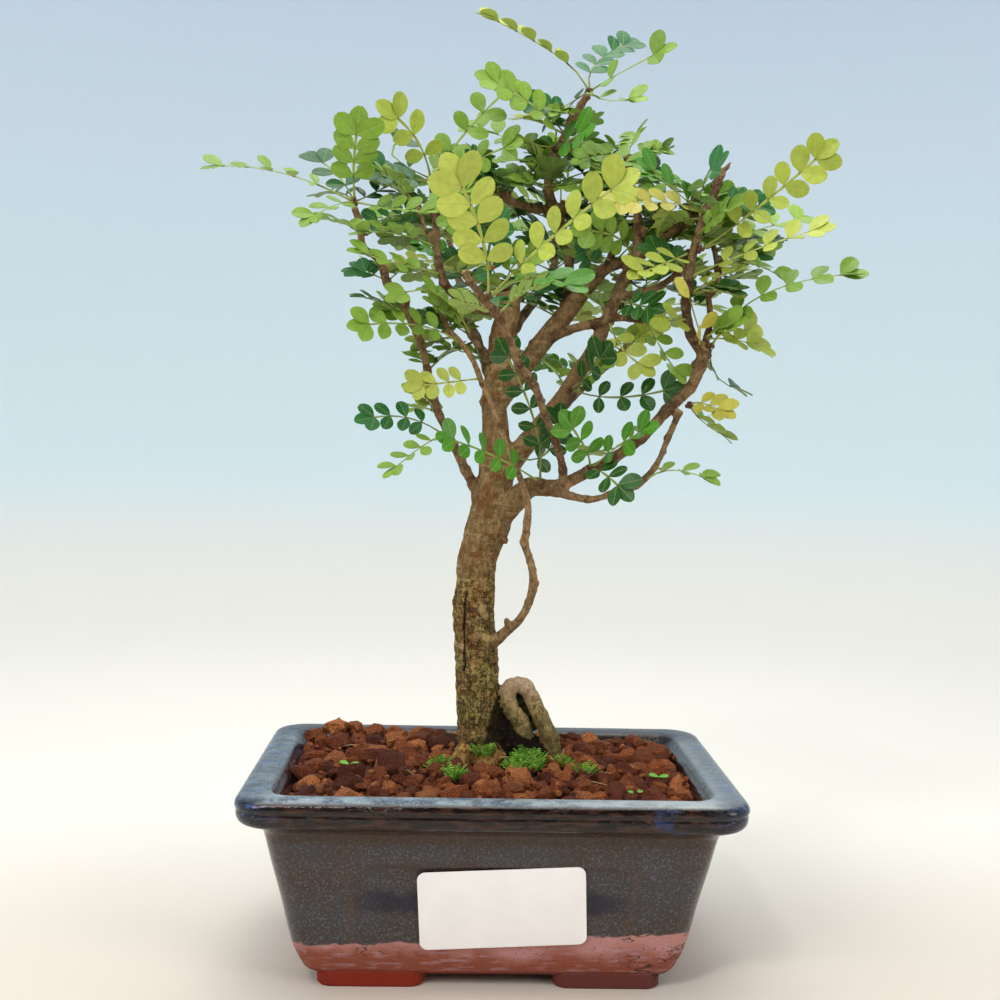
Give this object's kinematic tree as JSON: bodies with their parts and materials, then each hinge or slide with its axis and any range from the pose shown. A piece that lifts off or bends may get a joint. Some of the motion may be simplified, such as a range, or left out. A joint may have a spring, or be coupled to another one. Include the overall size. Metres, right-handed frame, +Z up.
{
  "type": "chinese pepper bonsai in a pot",
  "caption": "Small Chinese pepper bonsai with compound leaves, in a glazed rectangular pot of baked clay granules, to stand on a shelf or table.",
  "frame": {"origin": "middle of the whole object's box, on the surface that the pot's feet stand on", "axes": "+Z up; -Y towards the front, the long side of the pot with the label; +X to the right of someone who looks at the front"},
  "size_m": [0.2038, 0.1638, 0.3095],
  "materials": {
    "pot_glaze": "dark blue-brown speckled glaze, glossy, over bare purple-brown clay at the foot",
    "label_paper": "coated white paper",
    "drain_mesh": "moulded, matte",
    "bark": "flaky grey-tan bark, matte",
    "clay_granules": "unglazed baked clay crumbs, matte",
    "leaf": "thin waxy leaf, soft gloss"
  },
  "bodies": {
    "root": {"pot": "pot_glaze", "label": "label_paper", "drain_mesh_left": "drain_mesh", "drain_mesh_right": "drain_mesh", "tree": "bark", "soil": "clay_granules", "spray_left_tip": "leaf", "spray_upright_mid": "leaf", "spray_upright_low": "leaf", "spray_inner_low": "leaf", "spray_sucker_top": "leaf", "spray_sucker_mid": "leaf", "spray_left_low": "leaf", "spray_fork_front": "leaf", "spray_front": "leaf", "spray_crown_tip": "leaf", "spray_crown_mid": "leaf", "spray_crown_low": "leaf", "spray_side_end": "leaf", "spray_upright_back": "leaf", "spray_right_top": "leaf", "spray_right_mid": "leaf", "spray_right_inner": "leaf", "spray_right_low": "leaf", "spray_twig_mid": "leaf", "spray_twig_low": "leaf", "spray_knot": "leaf", "spray_knot_back": "leaf", "spray_knot_front": "leaf", "spray_right_under": "leaf", "spray_lower_end": "leaf", "spray_right_left": "leaf", "spray_short_tip": "leaf", "spray_short_mid": "leaf", "spray_fork_right": "leaf", "spray_main_low": "leaf", "spray_main_end": "leaf", "spray_middle_end": "leaf", "spray_main_fork": "leaf", "spray_long_side": "leaf", "spray_trunk_top": "leaf", "spray_crotch": "leaf", "spray_back_left": "leaf", "spray_back_middle": "leaf", "spray_back_right": "leaf"}
  },
  "joints": []
}
